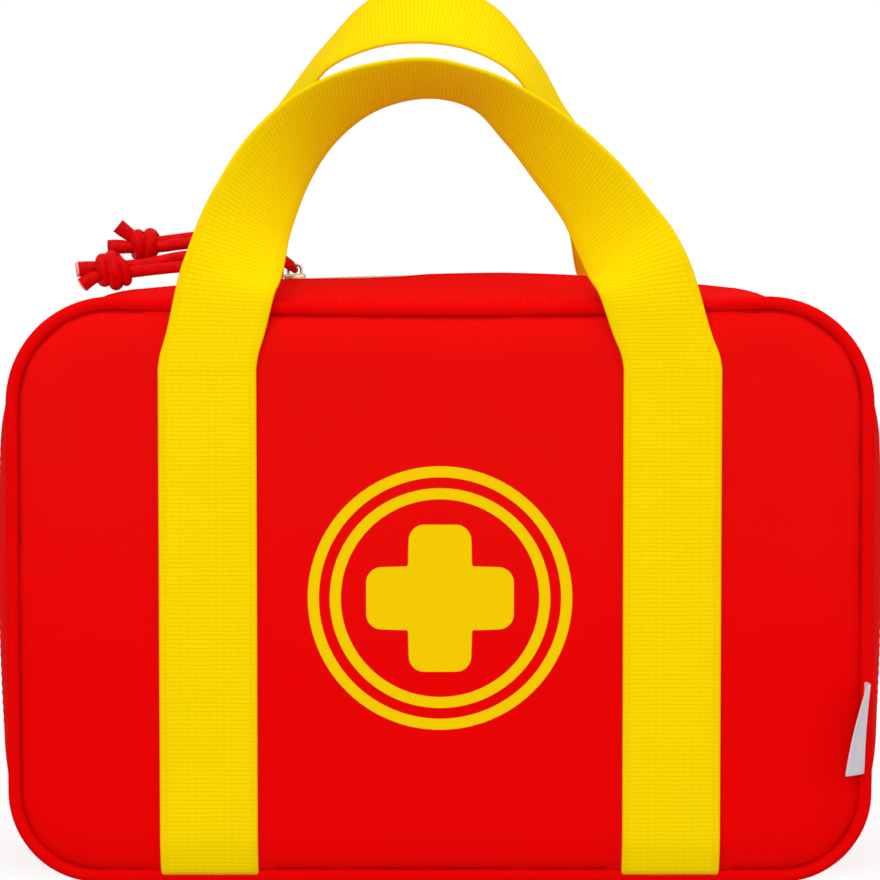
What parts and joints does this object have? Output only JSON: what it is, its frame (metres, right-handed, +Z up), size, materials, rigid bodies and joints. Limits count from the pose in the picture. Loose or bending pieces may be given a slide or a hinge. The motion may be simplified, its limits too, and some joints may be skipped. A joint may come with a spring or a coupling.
{
  "type": "toy doctor case",
  "caption": "Soft zipped carrying case with two padded shells, a bulging gusset, webbing handles and knotted pull cords on its zip sliders.",
  "frame": {"origin": "middle of the resting face, at the fold of the bottom fabric", "axes": "+Z up, the front panel faces -Y, +X to the right of a viewer in front"},
  "size_m": [0.2844, 0.0997, 0.2849],
  "materials": {
    "canvas": "woven canvas, matt",
    "board": "stiffening board",
    "lining": "thin lining cloth",
    "piping": "bias canvas over a round core",
    "binding": "woven binding tape",
    "tape": "woven zip tape",
    "coil": "nylon coil",
    "webbing": "ribbed webbing",
    "elastic": "woven elastic",
    "print": "screen print",
    "label": "satin ribbon",
    "slider": "nickel plate",
    "cord": "braided cord"
  },
  "bodies": {
    "back_shell": {"back_panel": "canvas", "back_board": "board", "back_lining": "lining", "back_piping": "piping", "back_binding": "binding", "back_gusset": "canvas", "back_gusset_lining": "lining", "back_base": "canvas", "back_zip_tape": "tape", "back_zip_teeth": "coil", "back_zip_ends": "canvas", "back_strap_legs": "webbing", "tool_band": "elastic"},
    "front_shell": {"front_panel": "canvas", "front_board": "board", "front_lining": "lining", "front_piping": "piping", "front_binding": "binding", "front_gusset": "canvas", "front_gusset_lining": "lining", "front_base": "canvas", "front_zip_tape": "tape", "front_zip_teeth": "coil", "front_zip_ends": "canvas", "front_strap_legs": "webbing", "emblem_print": "print", "side_label": "label"},
    "front_handle": {"front_handle": "webbing"},
    "back_handle": {"back_handle": "webbing"},
    "left_slider": {"left_slider": "slider"},
    "right_slider": {"right_slider": "slider"},
    "left_pull": {"left_pull_leg_front": "cord", "left_pull_leg_back": "cord", "left_pull_knot": "cord"},
    "right_pull": {"right_pull_leg_front": "cord", "right_pull_leg_back": "cord", "right_pull_knot": "cord"}
  },
  "joints": [
    {"name": "lid_hinge", "type": "hinge", "parent": "back_shell", "child": "front_shell", "pos_m": [0, 0, -0.00015], "axis": [1, 0, 0], "range_deg": [0, 175]},
    {"name": "front_handle_swing", "type": "hinge", "parent": "front_shell", "child": "front_handle", "pos_m": [0, -0.045, 0.1583], "axis": [1, 0, 0], "range_deg": [0, 170]},
    {"name": "back_handle_swing", "type": "hinge", "parent": "back_shell", "child": "back_handle", "pos_m": [0, 0.045, 0.1583], "axis": [-1, 0, 0], "range_deg": [0, 170]},
    {"name": "left_slider_travel", "type": "hinge", "parent": "back_shell", "child": "left_slider", "pos_m": [0, 0, -0.7128], "axis": [0, 1, 0], "range_deg": [-2.11, 0]},
    {"name": "right_slider_travel", "type": "hinge", "parent": "back_shell", "child": "right_slider", "pos_m": [0, 0, -0.7128], "axis": [0, 1, 0], "range_deg": [0, 8.76]},
    {"name": "left_pull_swing", "type": "hinge", "parent": "left_slider", "child": "left_pull", "pos_m": [-0.0582, 0, 0.1889], "axis": [0, 0, 1], "range_deg": [0, 22]},
    {"name": "right_pull_swing", "type": "hinge", "parent": "right_slider", "child": "right_pull", "pos_m": [-0.0467, 0, 0.1896], "axis": [0, 1, 0], "range_deg": [0, 85]}
  ]
}
